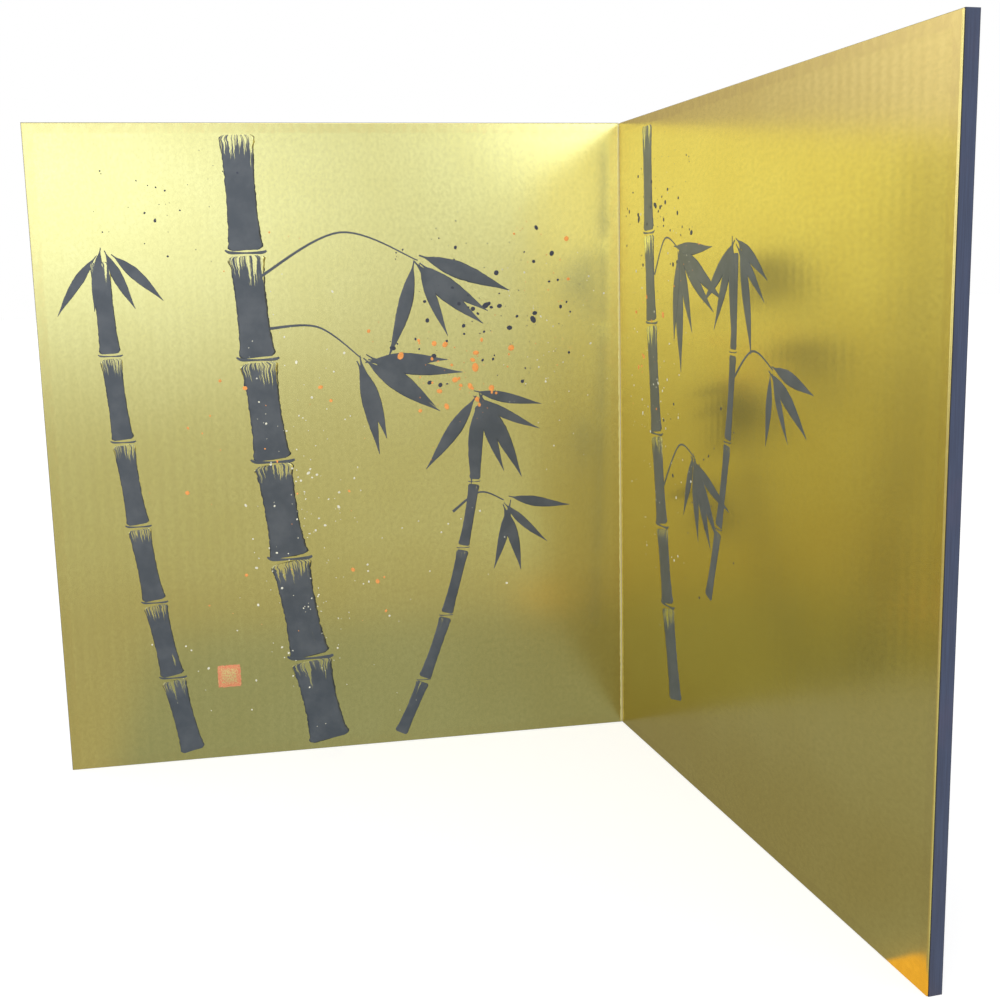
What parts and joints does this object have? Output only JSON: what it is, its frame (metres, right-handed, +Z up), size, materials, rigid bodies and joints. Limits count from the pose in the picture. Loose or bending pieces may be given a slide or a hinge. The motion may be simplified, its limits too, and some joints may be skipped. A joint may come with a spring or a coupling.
{
  "type": "folding screen",
  "caption": "Low folding screen of gold-papered panels with navy edges and a double-acting paper hinge, standing half open as a backdrop or divider.",
  "frame": {"origin": "on the floor, under the centre of the half-open screen's box", "axes": "+Z up; the left panel runs along X with its gold face towards -Y; the right panel comes forward, towards -Y, from the crease with its gold face towards -X"},
  "size_m": [0.9958, 0.9266, 1],
  "materials": {
    "gold_paper": "satin",
    "navy_paper": "matte",
    "navy_tape": "matte",
    "frame_wood": "matte",
    "bamboo": "matte",
    "core_board": "matte",
    "liner_board": "matte",
    "hinge_paper": "matte"
  },
  "bodies": {
    "left_panel": {"left_hinge_stile": "frame_wood", "left_outer_stile": "frame_wood", "left_top_rail": "frame_wood", "left_bottom_rail": "frame_wood", "left_lap_pins": "bamboo", "left_fluted_core": "core_board", "left_front_liner": "liner_board", "left_back_liner": "liner_board", "left_gold_face": "gold_paper", "left_back_paper": "navy_paper", "left_outer_edge_tape": "navy_tape", "left_top_edge_tape": "navy_tape", "left_bottom_edge_tape": "navy_tape", "left_hinge_edge_lining": "navy_paper", "left_front_hinge_tabs": "hinge_paper", "left_back_hinge_tabs": "hinge_paper"},
    "right_panel": {"right_hinge_stile": "frame_wood", "right_outer_stile": "frame_wood", "right_top_rail": "frame_wood", "right_bottom_rail": "frame_wood", "right_lap_pins": "bamboo", "right_fluted_core": "core_board", "right_front_liner": "liner_board", "right_back_liner": "liner_board", "right_gold_face": "gold_paper", "right_back_paper": "navy_paper", "right_outer_edge_tape": "navy_tape", "right_top_edge_tape": "navy_tape", "right_bottom_edge_tape": "navy_tape", "right_hinge_edge_lining": "navy_paper", "right_front_hinge_tabs": "hinge_paper", "right_back_hinge_tabs": "hinge_paper"},
    "forward_hinge": {"forward_wings": "hinge_paper"},
    "reverse_hinge": {"reverse_wings": "hinge_paper"}
  },
  "joints": [
    {"name": "forward_fold", "type": "hinge", "parent": "forward_hinge", "child": "left_panel", "pos_m": [0.41213, 0.4441, 0], "axis": [0, 0, 1], "range_deg": [-85.8, 94.2]},
    {"name": "reverse_fold", "type": "hinge", "parent": "forward_hinge", "child": "right_panel", "pos_m": [0.43138, 0.44552, 0], "axis": [0, 0, 1], "range_deg": [0, 180]},
    {"name": "reverse_wing_fold", "type": "hinge", "parent": "left_panel", "child": "reverse_hinge", "pos_m": [0.41213, 0.4634, 0], "axis": [0, 0, 1], "range_deg": [0, 180]}
  ],
  "couplings": [
    {"joint": "reverse_wing_fold", "follows": "reverse_fold", "ratio": 1}
  ]
}
